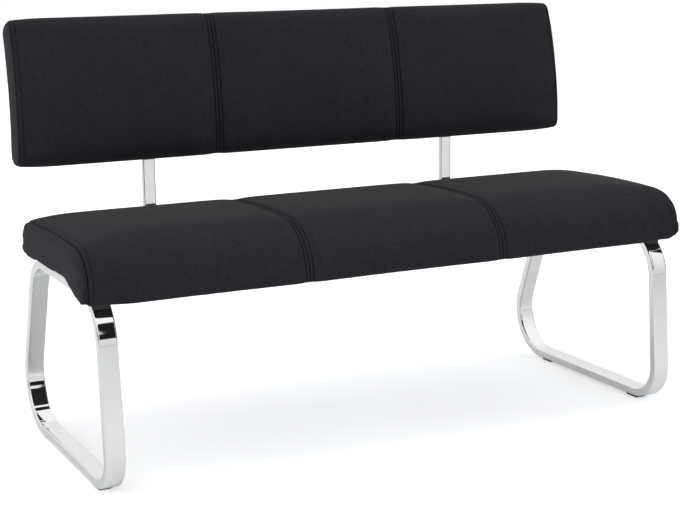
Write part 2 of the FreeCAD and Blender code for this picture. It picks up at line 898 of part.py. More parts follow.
group("backrest_screws", back_screws)
keep("backrest_board", cut("backrest_board", back_board_blank, *board_pilots))
rear_stations = padded_stations(rear_pad_corners, bench_end("-back_end"), bench_end("back_end"))
keep("backrest_rear_pad", cut("backrest_rear_pad", loft("rear_padding", rear_stations), *post_slots))
back_end_outline = back_slice(
    "end_panel_inset",
    "(back_thickness - end_panel_inset)",
    "back_low + end_panel_inset",
    "(back_upper - end_panel_inset)",
    "back_corner - end_panel_inset / 2",
    "back_corner - end_panel_inset / 2",
)
for side, sign in SIDES:
    middle = f"{sign} * (back_width / 2 - end_panel / 2)"
    end_panel(f"backrest_end_{side}", back_end_outline, middle, float(sign))


# Every object is sound before anything is written
doc.recompute()
failed = [obj.Name for obj in doc.Objects if {"Invalid", "Error"} & set(obj.State)]
if failed:
    raise RuntimeError(f"objects that failed: {failed}")
for name, obj in nodes.items():
    if obj.Shape.isNull() or not obj.Shape.isValid() or not obj.Shape.Solids:
        raise RuntimeError(f"{name} has no sound solid")

os.makedirs("parts", exist_ok=True)
whole = FreeCAD.BoundBox()
for name, obj in nodes.items():
    obj.Shape.exportStep(f"parts/{name}.step")
    whole.add(obj.Shape.BoundBox)
    print(f"{name}: {len(obj.Shape.Solids)} solids, {obj.Shape.Volume / 1000:.1f} cm3")
print(f"{len(nodes)} nodes, box {whole}")
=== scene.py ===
import math

import bmesh
import bpy
from mathutils import Matrix, Vector


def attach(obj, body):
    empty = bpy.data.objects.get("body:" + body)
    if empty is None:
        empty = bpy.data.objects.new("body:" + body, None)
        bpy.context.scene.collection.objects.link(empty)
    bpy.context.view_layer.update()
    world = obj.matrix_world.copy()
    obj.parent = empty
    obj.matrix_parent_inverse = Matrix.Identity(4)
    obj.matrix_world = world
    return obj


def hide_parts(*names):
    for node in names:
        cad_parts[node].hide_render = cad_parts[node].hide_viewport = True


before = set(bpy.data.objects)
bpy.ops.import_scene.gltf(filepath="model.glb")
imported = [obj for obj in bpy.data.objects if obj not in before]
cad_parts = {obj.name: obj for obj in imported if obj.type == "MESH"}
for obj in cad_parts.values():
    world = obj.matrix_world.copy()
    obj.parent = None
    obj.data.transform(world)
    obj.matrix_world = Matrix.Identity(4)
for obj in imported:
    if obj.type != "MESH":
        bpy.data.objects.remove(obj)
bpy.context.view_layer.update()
scene = bpy.context.scene

# Sizes are in millimetres and turned to metres where a mesh is made
MM = 0.001
SIDES = {"left": -1, "right": 1}

# Seat: its outline seen from the end, as (y, z, corner radius), from the rear lower edge over the top
SEAT_UNDER = 424
SLOPE_END = -160
END_NOSE = 80
MIDDLE_NOSE = 112


def seat_outline(nose):
    return [
        (152, SEAT_UNDER, 12),
        (152, 498, 45),
        (-74, 507, 2500),
        (-290, 499, nose),
        (-287, 376, 20),
        (SLOPE_END, SEAT_UNDER, 40),
    ]


SEAT_ROLL_START = 681
SEAT_ROLL_END = 691

# Backrest: an upright face that bends back, given by the depth behind its front face
BACK_FRONT = 178
BACK_LOW = 590
BACK_KNEE = 765
BACK_UPPER = 157
BACK_LEAN = math.radians(19.2)
BACK_CURVE = 700
BACK_CORNER = 25
BACK_SPLIT = 45
BACK_THICKNESS = 78
SPLIT_EDGE = 2.5
BACK_ROLL_START = 678
BACK_ROLL_END = 684.5

# Seams: the panels meet at the thirds, with a row of topstitching on each side
SEAM_PLACE = 230
SEAM_GAP = 0.2
ROW_OFFSET = 8.5
STITCH_PITCH = 4
STITCH_LENGTH = 3.3
THREAD = 1.1

# Leg loops: chromed flat tube round a trapezium
LOOP_CENTRE = 656
LOOP_FRONT = -304.9
LOOP_REAR = 338.5
LOOP_LOW = 5
LOOP_TOP = 404
FRONT_LEAN = math.radians(4.5)
REAR_LEAN = math.radians(21.2)
TUBE_WIDTH = 40
TUBE_DEPTH = 20
TUBE_EDGE = 4
FRONT_LOW_BEND = 80
REAR_LOW_BEND = 115
TOP_BEND = 108

# Backrest posts: chromed flat tube that runs under the seat and up behind it
POST_CENTRE = 385
POST_WIDTH = 28
POST_DEPTH = 15
POST_EDGE = 3
POST_BEND = 60
POST_RUN_FRONT = -62
POST_UPPER = 128


# Mesh helpers: the lengths of edges on arcs and along outlines, the angle from which an edge is sharp,
# and how close counts as the same place
ARC_STEP = 7
RING_STEP = 9
SHARP = math.radians(40)
MERGE = 0.01
NEAR = 0.05


def only(kind, geometry):
    return [item for item in geometry if isinstance(item, kind)]


def where(item):
    if isinstance(item, bmesh.types.BMVert):
        return tuple(item.co)
    return sorted(vert.index for vert in item.verts)


def walk(edges):
    """The vertices along a chain or loop of edges, from the same one and the same way each run."""
    links = {}
    for edge in edges:
        for vert in edge.verts:
            links.setdefault(vert, []).append(edge.other_vert(vert))
    ends = [vert for vert, near in links.items() if len(near) == 1]
    here = min(ends or links, key=where)
    path, seen = [], set()
    while here is not None:
        path.append(here)
        seen.add(here)
        here = min((vert for vert in links[here] if vert not in seen), key=where, default=None)
    return path


def extrude_ring(bm, edges):
    """One more ring beside the last one: its vertices and edges."""
    made = bmesh.ops.extrude_edge_only(bm, edges=edges)["geom"]
    verts = only(bmesh.types.BMVert, made)
    fresh = set(verts)
    edges = [edge for edge in only(bmesh.types.BMEdge, made) if fresh.issuperset(edge.verts)]
    return verts, edges


def rounded_face(bm, points, radii):
    """A flat face whose corners are rounded, with arcs of about ARC_STEP."""
    corners = [bm.verts.new(point) for point in points]
    bm.faces.new(corners)
    for i, (corner, radius) in enumerate(zip(corners, radii)):
        if not radius:
            continue
        before = points[i] - points[i - 1]
        after = points[(i + 1) % len(points)] - points[i]
        turn = before.angle(after)
        segments = max(3, math.ceil(radius * turn / (ARC_STEP * MM)))
        bmesh.ops.bevel(
            bm,
            geom=[corner],
            offset=radius * math.tan(turn / 2),
            offset_type="ABSOLUTE",
            affect="VERTICES",
            segments=segments,
            profile=0.5,
            material=-1,
        )
    return bm.faces[:][0]


def flat_points(corners):
    return [Vector((0, y * MM, z * MM)) for y, z, radius in corners]


def mesh_from(name, bm):
    """A mesh with its faces turned outwards, also where it is an open tube; the bmesh is used up.

    It is sorted by place, because extruding makes edges and faces in another order each run.
    """
    for items in (bm.verts, bm.edges, bm.faces):
        ranks = {item: i for i, item in enumerate(sorted(items, key=where))}
        items.sort(key=ranks.get)
        items.index_update()
    bmesh.ops.recalc_face_normals(bm, faces=bm.faces)
    if bm.calc_volume(signed=True) < 0:
        bmesh.ops.reverse_faces(bm, faces=bm.faces)
    mesh = bpy.data.meshes.new(name)
    bm.to_mesh(mesh)
    bm.free()
    return mesh


def linked_object(name, mesh):
    piece = bpy.data.objects.new(name, mesh)
    scene.collection.objects.link(piece)
    return piece


def finish_piece(name, bm, material, nodes=()):
    """Turn a bmesh into a piece that rides on the bench."""
    return finish_mesh(name, mesh_from(name, bm), material, nodes)


def finish_mesh(name, mesh, material, nodes=()):
    mesh.shade_smooth()
    mesh.set_sharp_from_angle(angle=SHARP)
    mesh.materials.clear()
    mesh.materials.append(material)
    piece = linked_object(name, mesh)
    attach(piece, "root")
    if nodes:
        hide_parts(*nodes)
    return piece


def evaluated(piece):
    """The mesh of an object with its modifiers applied."""
    graph = bpy.context.evaluated_depsgraph_get()
    return bpy.data.meshes.new_from_object(piece.evaluated_get(graph))


# Materials
def colour(code):
    """A linear colour from an sRGB hex code."""
    parts = [int(code[i : i + 2], 16) / 255 for i in (1, 3, 5)]
    linear = [p / 12.92 if p <= 0.04045 else ((p + 0.055) / 1.055) ** 2.4 for p in parts]
    return (*linear, 1)


def add(tree, kind, inputs=(), **settings):
    """A node with its settings; each input is a constant or another node's output."""
    node = tree.nodes.new("ShaderNode" + kind)
    for key, value in settings.items():
        setattr(node, key, value)
    set_inputs(tree, node, dict(inputs))
    return node


def set_inputs(tree, node, inputs):
    for key, value in inputs.items():
        if isinstance(value, bpy.types.NodeSocket):
            tree.links.new(value, node.inputs[key])
        else:
            node.inputs[key].default_value = value


def new_material(name):
    """An empty material with its tree and shader."""
    material = bpy.data.materials.new(name)
    material.use_nodes = True
    tree = material.node_tree
    return material, tree, tree.nodes["Principled BSDF"]


def noise_scale(size):
    """The scale of a noise whose blotches are about this many millimetres wide."""
    return 1 / (size * MM)


def wave_scale(spacing):
    """The scale of wave bands this many millimetres apart."""
    return math.pi / 10 / (spacing * MM)


def microfibre_cloth():
    """Charcoal woven microfibre: matt, with a short nap that pales at grazing angles."""
    material, tree, shader = new_material("charcoal_microfibre")
    surface = add(tree, "UVMap", uv_map="cover").outputs["UV"]
    solid = add(tree, "TexCoord").outputs["Object"]
    # Threads are about 0.5 mm apart, drawn at 1.6 mm so that the weave shows
    threads = [
        add(
            tree,
            "TexWave",
            {"Vector": surface, "Scale": wave_scale(1.6), "Distortion": 0.6, "Detail": 1.0},
            bands_direction=axis,
        )
        for axis in ("X", "Y")
    ]
    weave = add(
        tree, "Math", {0: threads[0].outputs["Fac"], 1: threads[1].outputs["Fac"]}, operation="MULTIPLY"
    )
    nap = add(
        tree,
        "TexNoise",
        {"Vector": solid, "Scale": noise_scale(9), "Detail": 6.0, "Roughness": 0.65},
    )
    brushed = add(tree, "TexNoise", {"Vector": solid, "Scale": noise_scale(120), "Detail": 2.0})
    tone = add(
        tree,
        "Mix",
        {0: brushed.outputs["Fac"], 6: colour("#2b2b30"), 7: colour("#313035")},
        data_type="RGBA",
    )
    pale = add(
        tree,
        "MapRange",
        {"Value": nap.outputs["Fac"], "From Min": 0.3, "From Max": 0.7, "To Min": 0.8, "To Max": 1.2},
    )
    thread_shade = add(tree, "MapRange", {"Value": weave.outputs[0], "To Min": 0.76, "To Max": 1.2})
    shade = add(tree, "Math", {0: pale.outputs[0], 1: thread_shade.outputs[0]}, operation="MULTIPLY")
    # Painted shade: the colour is darkened where the sewn attribute marks the seams and topstitching
    # rows, standing in for shade in the drawn-in channels
    sewn = add(tree, "Attribute", attribute_name="sewn", attribute_type="GEOMETRY")
    painted_shade_factor = add(tree, "MapRange", {"Value": sewn.outputs["Fac"], "To Min": 1.0, "To Max": 0.35})
    shade = add(tree, "Math", {0: shade.outputs[0], 1: painted_shade_factor.outputs[0]}, operation="MULTIPLY")
    cloth = add(tree, "VectorMath", {0: tone.outputs[2], "Scale": shade.outputs[0]}, operation="SCALE")
    rough = add(tree, "MapRange", {"Value": nap.outputs["Fac"], "To Min": 0.78, "To Max": 0.98})
    height = add(tree, "Math", {0: nap.outputs["Fac"], 1: weave.outputs[0]}, operation="ADD")
    bump = add(tree, "Bump", {"Height": height.outputs[0], "Strength": 0.35, "Distance": 0.35 * MM})
    set_inputs(
        tree,
        shader,
        {
            "Base Color": cloth.outputs[0],
            "Roughness": rough.outputs[0],
            "Normal": bump.outputs["Normal"],
            "Specular IOR Level": 0.1,
            "Sheen Weight": 0.042,
            "Sheen Roughness": 0.25,
            "Sheen Tint": colour("#dfc7a4"),
        },
    )
    return material


def sewing_thread():
    """Black polyester thread: a slight sheen and a twist along each stitch."""
    material, tree, shader = new_material("black_polyester_thread")
    solid = add(tree, "TexCoord").outputs["Object"]
    twist = add(tree, "TexNoise", {"Vector": solid, "Scale": noise_scale(0.8), "Detail": 2.0})
    tone = add(
        tree,
        "Mix",
        {0: twist.outputs["Fac"], 6: colour("#0d0d0f"), 7: colour("#19191c")},
        data_type="RGBA",
    )
    bump = add(tree, "Bump", {"Height": twist.outputs["Fac"], "Strength": 0.4, "Distance": 0.2 * MM})
    set_inputs(
        tree,
        shader,
        {"Base Color": tone.outputs[2], "Roughness": 0.55, "Normal": bump.outputs["Normal"]},
    )
    return material


def polished_chrome(name, slope):
    """Bright chrome plate on steel: a mirror with faint polishing haze.

    A slope tips what the whole surface mirrors upwards, as a slightly crowned face does.
    """
    material, tree, shader = new_material(name)
    solid = add(tree, "TexCoord").outputs["Object"]
    haze = add(tree, "TexNoise", {"Vector": solid, "Scale": noise_scale(60), "Detail": 4.0})
    rough = add(tree, "MapRange", {"Value": haze.outputs["Fac"], "To Min": 0.025, "To Max": 0.075})
    tone = add(
        tree,
        "Mix",
        {0: haze.outputs["Fac"], 6: colour("#e4e5e4"), 7: colour("#f0f0ef")},
        data_type="RGBA",
    )
    ripple = add(tree, "TexNoise", {"Vector": solid, "Scale": noise_scale(25), "Detail": 1.0})
    bump = add(tree, "Bump", {"Height": ripple.outputs["Fac"], "Strength": 0.02, "Distance": 0.4 * MM})
    if slope:
        place = add(tree, "SeparateXYZ", {"Vector": solid})
        lower = add(tree, "Math", {0: place.outputs["Z"], 1: -1.0}, operation="MULTIPLY")
        bump = add(
            tree,
            "Bump",
            {"Height": lower.outputs[0], "Distance": slope, "Normal": bump.outputs["Normal"]},
        )
    set_inputs(
        tree,
        shader,
        {
            "Base Color": tone.outputs[2],
            "Metallic": 1.0,
            "Roughness": rough.outputs[0],
            "Normal": bump.outputs["Normal"],
        },
    )
    return material


def moulded_plastic():
    """Black moulded polypropylene: a fine spark-eroded grain."""
    material, tree, shader = new_material("black_polypropylene")
    solid = add(tree, "TexCoord").outputs["Object"]
    grain = add(tree, "TexNoise", {"Vector": solid, "Scale": noise_scale(1.2), "Detail": 3.0})
    tone = add(
        tree,
        "Mix",
        {0: grain.outputs["Fac"], 6: colour("#121213"), 7: colour("#1d1d1e")},
        data_type="RGBA",
    )
    rough = add(tree, "MapRange", {"Value": grain.outputs["Fac"], "To Min": 0.42, "To Max": 0.6})
    bump = add(tree, "Bump", {"Height": grain.outputs["Fac"], "Strength": 0.25, "Distance": 0.3 * MM})
    set_inputs(
        tree,
        shader,
        {
            "Base Color": tone.outputs[2],
            "Roughness": rough.outputs[0],
            "Normal": bump.outputs["Normal"],
        },
    )
    return material


def zinc_plate():
    """Zinc-plated steel: soft grey metal with a faint mottle."""
    material, tree, shader = new_material("zinc_plated_steel")
    solid = add(tree, "TexCoord").outputs["Object"]
    mottle = add(tree, "TexNoise", {"Vector": solid, "Scale": noise_scale(3), "Detail": 4.0})
    tone = add(
        tree,
        "Mix",
        {0: mottle.outputs["Fac"], 6: colour("#a9aeb2"), 7: colour("#c9cdce")},
        data_type="RGBA",
    )
    rough = add(tree, "MapRange", {"Value": mottle.outputs["Fac"], "To Min": 0.24, "To Max": 0.42})
    set_inputs(
        tree,
        shader,
        {"Base Color": tone.outputs[2], "Metallic": 1.0, "Roughness": rough.outputs[0]},
    )
    return material


def birch_plywood():
    """Birch plywood: long pale grain on its faces and dark glue lines on its edges."""
    material, tree, shader = new_material("birch_plywood")
    solid = add(tree, "TexCoord").outputs["Object"]
    stretched = add(tree, "Mapping", {"Vector": solid, "Scale": (0.05, 1.0, 1.0)})
    grain = add(
        tree, "TexNoise", {"Vector": stretched.outputs[0], "Scale": noise_scale(6), "Detail": 6.0}
    )
    tone = add(
        tree,
        "Mix",
        {0: grain.outputs["Fac"], 6: colour("#b48a5c"), 7: colour("#d9bb8d")},
        data_type="RGBA",
    )
    plies = add(tree, "TexWave", {"Vector": solid, "Scale": wave_scale(3.0)}, bands_direction="Z")
    glue = add(
        tree,
        "MapRange",
        {"Value": plies.outputs["Fac"], "From Max": 0.3, "To Min": 0.72, "To Max": 1.0},
    )
    wood = add(tree, "VectorMath", {0: tone.outputs[2], "Scale": glue.outputs[0]}, operation="SCALE")
    bump = add(tree, "Bump", {"Height": grain.outputs["Fac"], "Strength": 0.3, "Distance": 0.3 * MM})
    set_inputs(
        tree,
        shader,
        {"Base Color": wood.outputs[0], "Roughness": 0.62, "Normal": bump.outputs["Normal"]},
    )
    return material


def dust_cloth():
    """Black spun-bonded dust cloth: flattened fibres with a regular emboss."""
    material, tree, shader = new_material("black_spunbond_cloth")
    solid = add(tree, "TexCoord").outputs["Object"]
    fibres = add(tree, "TexNoise", {"Vector": solid, "Scale": noise_scale(1.5), "Detail": 6.0})
    dots = add(tree, "TexVoronoi", {"Vector": solid, "Scale": noise_scale(3), "Randomness": 0.0})
    tone = add(
        tree,
        "Mix",
        {0: fibres.outputs["Fac"], 6: colour("#101011"), 7: colour("#202022")},
        data_type="RGBA",
    )
    bump = add(tree, "Bump", {"Height": dots.outputs["Distance"], "Strength": 0.4, "Distance": 0.3 * MM})
    set_inputs(
        tree,
        shader,
        {"Base Color": tone.outputs[2], "Roughness": 0.9, "Normal": bump.outputs["Normal"]},
    )
    return material


CLOTH = microfibre_cloth()
THREAD_FINISH = sewing_thread()
LOOP_CHROME = polished_chrome("polished_chrome_loops", 0)
POST_CHROME = polished_chrome("polished_chrome_posts", 0.16)
PLASTIC = moulded_plastic()
ZINC = zinc_plate()
PLYWOOD = birch_plywood()
DUST_CLOTH = dust_cloth()


# Chromed tubes
def tube_ring(bm, at, along, width, depth, edge):
    """A rounded rectangle square to the tube's run, as a face."""
    across = Vector((width / 2 * MM, 0, 0))
    up = Vector((1, 0, 0)).cross(along).normalized() * depth / 2 * MM
    points = [at - across - up, at + across - up, at + across + up, at - across + up]
    return rounded_face(bm, points, [edge * MM] * 4)


BEND_STEP = math.radians(2.5)


def carry(bm, edges, at, path, radii):
    """Carry a ring along a path: straight runs are extruded and bends are spun."""
    for i in range(1, len(path) - 1):
        arriving = (path[i] - path[i - 1]).normalized()
        leaving = (path[i + 1] - path[i]).normalized()
        turn = arriving.angle(leaving)
        bend_start = path[i] - arriving * radii[i] * math.tan(turn / 2)
        verts, edges = extrude_ring(bm, edges)
        bmesh.ops.translate(bm, verts=verts, vec=bend_start - at)
        inward = (leaving - arriving * arriving.dot(leaving)).normalized()
        spun = bmesh.ops.spin(
            bm,
            geom=edges,
            cent=bend_start + inward * radii[i],
            axis=arriving.cross(leaving).normalized(),
            angle=turn,
            steps=math.ceil(turn / BEND_STEP),
        )
        edges = only(bmesh.types.BMEdge, spun["geom_last"])
        at = path[i] + leaving * radii[i] * math.tan(turn / 2)
    verts, edges = extrude_ring(bm, edges)
    bmesh.ops.translate(bm, verts=verts, vec=path[-1] - at)
    return edges


def even_normals(piece):
    """Keep flat faces flat in reflections, so that only the rounded edges turn."""
    weighted = piece.modifiers.new("Flat faces", "WEIGHTED_NORMAL")
    weighted.weight = 100
    weighted.keep_sharp = True


def leg_loop(side):
    middle = TUBE_DEPTH / 2
    corners = []
    for height, front_bend, rear_bend in (
        (LOOP_LOW + middle, FRONT_LOW_BEND, REAR_LOW_BEND),
        (LOOP_TOP - middle, TOP_BEND, TOP_BEND),
    ):
        rise = height - LOOP_LOW
        front = LOOP_FRONT + rise * math.tan(FRONT_LEAN) + middle / math.cos(FRONT_LEAN)
        rear = LOOP_REAR - rise * math.tan(REAR_LEAN) - middle / math.cos(REAR_LEAN)
        corners.append((front, height, front_bend - middle))
        corners.append((rear, height, rear_bend - middle))
    ordered = [corners[1], corners[3], corners[2], corners[0]]
    across = Vector((SIDES[side] * LOOP_CENTRE * MM, 0, 0))
    points = [across + point for point in flat_points(ordered)]
    start = (points[-1] + points[0]) / 2
    path = [start, *points, start]
    radii = [0, *(radius * MM for y, z, radius in ordered), 0]
    bm = bmesh.new()
    face = tube_ring(bm, start, path[1] - start, TUBE_WIDTH, TUBE_DEPTH, TUBE_EDGE)
    edges = face.edges[:]
    bmesh.ops.delete(bm, geom=[face], context="FACES_ONLY")
    carry(bm, edges, start, path, radii)
    bmesh.ops.remove_doubles(bm, verts=bm.verts, dist=MERGE * MM)
    loop = finish_piece(f"chromed_loop_{side}", bm, LOOP_CHROME, [f"leg_loop_{side}"])
    even_normals(loop)


def back_point(depth, upper):
    """A point of the backrest's section above the knee."""
    y = BACK_FRONT + upper * math.sin(BACK_LEAN) + depth * math.cos(BACK_LEAN)
    z = BACK_KNEE + upper * math.cos(BACK_LEAN) - depth * math.sin(BACK_LEAN)
    return y, z


def knee_point(depth):
    return BACK_FRONT + depth, BACK_KNEE - depth * math.tan(BACK_LEAN / 2)


def back_post(side):
    depth = BACK_SPLIT + POST_DEPTH / 2
    run = SEAT_UNDER - POST_DEPTH / 2
    corners = [
        (POST_RUN_FRONT, run, 0),
        (BACK_FRONT + depth, run, POST_BEND - POST_DEPTH / 2),
        (*knee_point(depth), BACK_CURVE - depth),
        (*back_point(depth, POST_UPPER), 0),
    ]
    across = Vector((SIDES[side] * POST_CENTRE * MM, 0, 0))
    path = [across + point for point in flat_points(corners)]
    bm = bmesh.new()
    face = tube_ring(bm, path[0], path[1] - path[0], POST_WIDTH, POST_DEPTH, POST_EDGE)
    edges = carry(bm, face.edges[:], path[0], path, [radius * MM for y, z, radius in corners])
    bmesh.ops.edgeloop_fill(bm, edges=edges)
    post = finish_piece(f"chromed_post_{side}", bm, POST_CHROME, [f"post_{side}"])
    even_normals(post)


for side in SIDES:
    leg_loop(side)
    back_post(side)


# Upholstery
SIM_STEP = 10
SIM_FRAMES = 20
PRESSURE = 4.0


def outline_ring(section):
    """A ring of short edges round a section's outline, and its vertices in order.

    Edges whose two ends lie on a joint, where the pad lies against another piece, stay long.
    """
    corners, is_joint = section["outline"], section["is_joint"]
    bm = bmesh.new()
    bm.verts.layers.int.new("order")
    bm.verts.layers.float.new("along")
    face = rounded_face(bm, flat_points(corners), [radius * MM for y, z, radius in corners])
    bmesh.ops.delete(bm, geom=[face], context="FACES_ONLY")
    for edge in bm.edges[:]:
        cuts = int(edge.calc_length() / (RING_STEP * MM))
        if cuts and not all(is_joint(vert.co) for vert in edge.verts):
            bmesh.ops.subdivide_edges(bm, edges=[edge], cuts=cuts)
    path = walk(bm.edges)
    nearest = min(range(len(path)), key=lambda i: (path[i].co - section["start_at"]).length)
    return bm, path[nearest:] + path[:nearest]


def inward_ways(path, section):
    """The points of a closed outline, and how each moves where the cover falls, rolls over and hangs."""
    points = [vert.co.copy() for vert in path]
    area = sum(a.y * b.z - b.y * a.z for a, b in zip(points, points[1:] + points[:1]))
    turn = 1 if area > 0 else -1
    falls, rolls, hangs = [], [], []
    for i, here in enumerate(points):
        total = Vector()
        for a, b in ((points[i - 1], here), (here, points[(i + 1) % len(points)])):
            if section["is_joint"](a) and section["is_joint"](b):
                continue
            run = (b - a).normalized()
            total += turn * Vector((0, -run.z, run.y))
        way = total.normalized()
        way.y *= section["front_share"] if way.y > 0 else section["rear_share"]
        below = way.z > 0
        falls.append(Vector((0, way.y, way.z * section["under_fall"] if below else way.z)))
        rolls.append(Vector((0, way.y, way.z * section["under_roll"] if below else way.z)))
        hangs.append(Vector((0, 0, -way.z * section["hang"](here) if below else 0)))
    return points, falls, rolls, hangs


# Rolled ends: the cover falls slowly towards an end, rolls over it and folds into the end panel's seam
FALL_REACH = 70
ROLL_STEPS = 8
ROLL_FIRST = math.radians(14)
# The fold, as steps (back from the end, deeper than the drop)
FOLD_STEPS = ((0.4, 1.5), (1.2, 2.8), (2.5, 3.4))

# The seat's nose is fuller at the ends than in the middle
NOSE_FULL = 690
NOSE_ROUND = 600


def middle_points(section, points):
    """The outline in the middle of the bench, with a point for each point of the outline at the ends."""
    if "middle_outline" not in section:
        return points
    bm, path = outline_ring(section | {"outline": section["middle_outline"]})
    others = [vert.co.copy() for vert in path]
    bm.free()
    if (others[1] - points[1]).length > (others[-1] - points[1]).length:
        others = others[:1] + others[:0:-1]
    spans = [(a, b, (b - a).length) for a, b in zip(others, others[1:] + others[:1])]
    around = sum((b - a).length for a, b in zip(points, points[1:] + points[:1]))
    stretch = sum(length for a, b, length in spans) / around
    matched, passed, gone, number = [], 0, 0, 0
    for here, there in zip(points, points[1:] + points[:1]):
        start, end, length = spans[number]
        while passed - gone > length and number + 1 < len(spans):
            gone += length
            number += 1
            start, end, length = spans[number]
        matched.append(start.lerp(end, min(1, (passed - gone) / length)))
        passed += (there - here).length * stretch
    return matched


def roundness(place):
    """How far the outline has gone from that of the ends to that of the middle."""
    return smooth_share(NOSE_FULL, NOSE_ROUND, abs(place))


def end_fall(place, section):
    """How far the cover has fallen at a place across the bench."""
    near = abs(place) - (section["roll_start"] - FALL_REACH)
    return section["fall"] * max(0, near / FALL_REACH) ** 2


def smooth_share(low, high, value):
    """From nought to one between two values, level at both ends."""
    share = min(1, max(0, (value - low) / (high - low)))
    return share * share * (3 - 2 * share)


def even_stations(low, high, section):
    count = math.ceil(abs(high - low) / SIM_STEP)
    places = [low + (high - low) * i / count for i in range(count + 1)]
    return [(place, end_fall(place, section), 0) for place in places]


def roll_stations(sign, section):
    """The rolled edge at an end of the bench, then the fold down to the end panel's seam."""
    start, end = section["roll_start"], section["roll_end"]
    fall, drop = section["fall"], section["drop"]
    stations = []
    for step in range(1, ROLL_STEPS + 1):
        angle = ROLL_FIRST + (math.pi / 2 - ROLL_FIRST) * step / ROLL_STEPS
        out = (math.sin(angle) - math.sin(ROLL_FIRST)) / (1 - math.sin(ROLL_FIRST))
        down = 1 - math.cos(angle) / math.cos(ROLL_FIRST)
        stations.append((sign * (start + (end - start) * out), fall, drop * down))
    for back, deeper in FOLD_STEPS:
        stations.append((sign * (end - back), fall, drop + deeper))
    return stations


def cover_tube(section, stations):
    """The cover of a padded section, open at its two ends, with its cloth laid out flat in a UV map."""
    bm, path = outline_ring(section)
    points, falls, rolls, hangs = inward_ways(path, section)
    middle = middle_points(section, points)
    order = bm.verts.layers.int["order"]
    along = bm.verts.layers.float["along"]
    total = 0
    for i, vert in enumerate(path):
        vert[order] = i
        vert[along] = total
        total += (points[(i + 1) % len(points)] - points[i]).length
    edges = bm.edges[:]
    verts = path
    for number, (place, fall, roll) in enumerate(stations):
        if number:
            verts, edges = extrude_ring(bm, edges)
        hang = smooth_share(section["roll_start"], section["panel"][-1][0], abs(place))
        for vert in verts:
            i = vert[order]
            vert.co = points[i].lerp(middle[i], roundness(place))
            vert.co += (falls[i] * fall + rolls[i] * roll + hangs[i] * hang) * MM
            vert.co.x = place * MM
    cover = bm.loops.layers.uv.new("cover")
    for face in bm.faces:
        wraps = max(v[along] for v in face.verts) - min(v[along] for v in face.verts) > total / 2
        for loop in face.loops:
            further = total if wraps and loop.vert[along] < total / 2 else 0
            loop[cover].uv = (loop.vert.co.x, loop.vert[along] + further)
    return bm


def inflate(piece, held, most):
    """Blow a cover up against its held points, and keep every point within a distance of its cut."""
    mesh = piece.data
    before = [vert.co.copy() for vert in mesh.vertices]
    sewn = piece.vertex_groups.new(name="sewn")
    sewn.add([i for i, point in enumerate(before) if held(point)], 1.0, "REPLACE")
    cloth = piece.modifiers.new("Padding", "CLOTH")
    cloth.settings.vertex_group_mass = "sewn"
    cloth.settings.use_pressure = True
    cloth.settings.uniform_pressure_force = PRESSURE
    cloth.settings.effector_weights.gravity = 0
    cloth.point_cache.frame_start = 1
    cloth.point_cache.frame_end = SIM_FRAMES
    for number in range(1, SIM_FRAMES + 1):
        scene.frame_set(number)
    blown = evaluated(piece)
    for vert, start, end in zip(mesh.vertices, before, blown.vertices):
        move = end.co - start
        vert.co = start + move * most / math.hypot(most, move.length)
    piece.modifiers.remove(cloth)
    scene.frame_set(1)


def padded_mesh(name, bm, held, most):
    """The cover after it is blown up and made finer."""
    mesh = mesh_from(name, bm)
    piece = linked_object(name, mesh)
    inflate(piece, held, most)
    finer = piece.modifiers.new("Finer", "SUBSURF")
    finer.levels = finer.render_levels = 1
    fine = evaluated(piece)
    bpy.data.objects.remove(piece)
    bpy.data.meshes.remove(mesh)
    return fine


# How far the cover is drawn in beside a seam: at the fold, under the topstitching and around both;
# how much painted shade darkens the cloth there, the same for the row beside an end, and where loops are
# cut for it
FOLD_DEPTH, FOLD_WIDTH = 2.5, 1.2
ROW_DEPTH, ROW_WIDTH = 2.4, 1.5
SHADE_WIDTH = 1.4
FOLD_SHADE = 0.6
BROAD_DEPTH, BROAD_WIDTH = 1.2, 17
END_ROW_OFFSET = 9
END_ROW_DEPTH = 1.0
END_ROW_SHADE = 0.55
SEAM_CUTS = (0.9, 1.8, 2.8, 4, 5.4, 6.4, 7.2, 7.9, 8.5, 9.1, 9.8, 10.6, 11.8, 13.6, 16, 19, 23)
ROW_CUTS = (-3, -2, -1.3, -0.6, 0, 0.6, 1.3, 2, 3)
CUT_SNAP = 0.02


def hump(distance, width):
    return math.exp(-((distance / width) ** 2))


def seam_draw(distance):
    fold = FOLD_DEPTH * hump(distance, FOLD_WIDTH)
    row = ROW_DEPTH * hump(distance - ROW_OFFSET, ROW_WIDTH)
    return fold + row + BROAD_DEPTH * hump(distance, BROAD_WIDTH)


def row_draw(distance):
    return END_ROW_DEPTH * hump(distance, ROW_WIDTH)


def seam_shade(distance):
    return max(FOLD_SHADE * hump(distance, SHADE_WIDTH), hump(distance - ROW_OFFSET, SHADE_WIDTH))


def row_shade(distance):
    return END_ROW_SHADE * hump(distance, SHADE_WIDTH)


def draw_in(bm, place, toward, cuts, depth_at, shade_at, is_still):
    """Cut loops beside a sewn line across the pad, draw the cover in along them and mark the painted
    shade there.
    """
    sewn = bm.verts.layers.float["sewn"]
    for cut in cuts:
        geometry = bm.verts[:] + bm.edges[:] + bm.faces[:]
        spot = Vector(((place + toward * cut) * MM, 0, 0))
        bmesh.ops.bisect_plane(bm, geom=geometry, dist=CUT_SNAP * MM, plane_co=spot, plane_no=(1, 0, 0))
    bm.normal_update()
    nearest, reach = min(0, *cuts) - 0.5, max(cuts)
    moves = {}
    for vert in bm.verts:
        distance = toward * (vert.co.x / MM - place)
        if nearest <= distance <= reach and not is_still(vert.co):
            way = Vector((0, vert.normal.y, vert.normal.z)).normalized()
            moves[vert] = -way * depth_at(distance) * MM
            # painted shade for the cloth's colour, kept in the sewn attribute
            vert[sewn] = max(vert[sewn], shade_at(distance))
    for vert, move in moves.items():
        vert.co += move


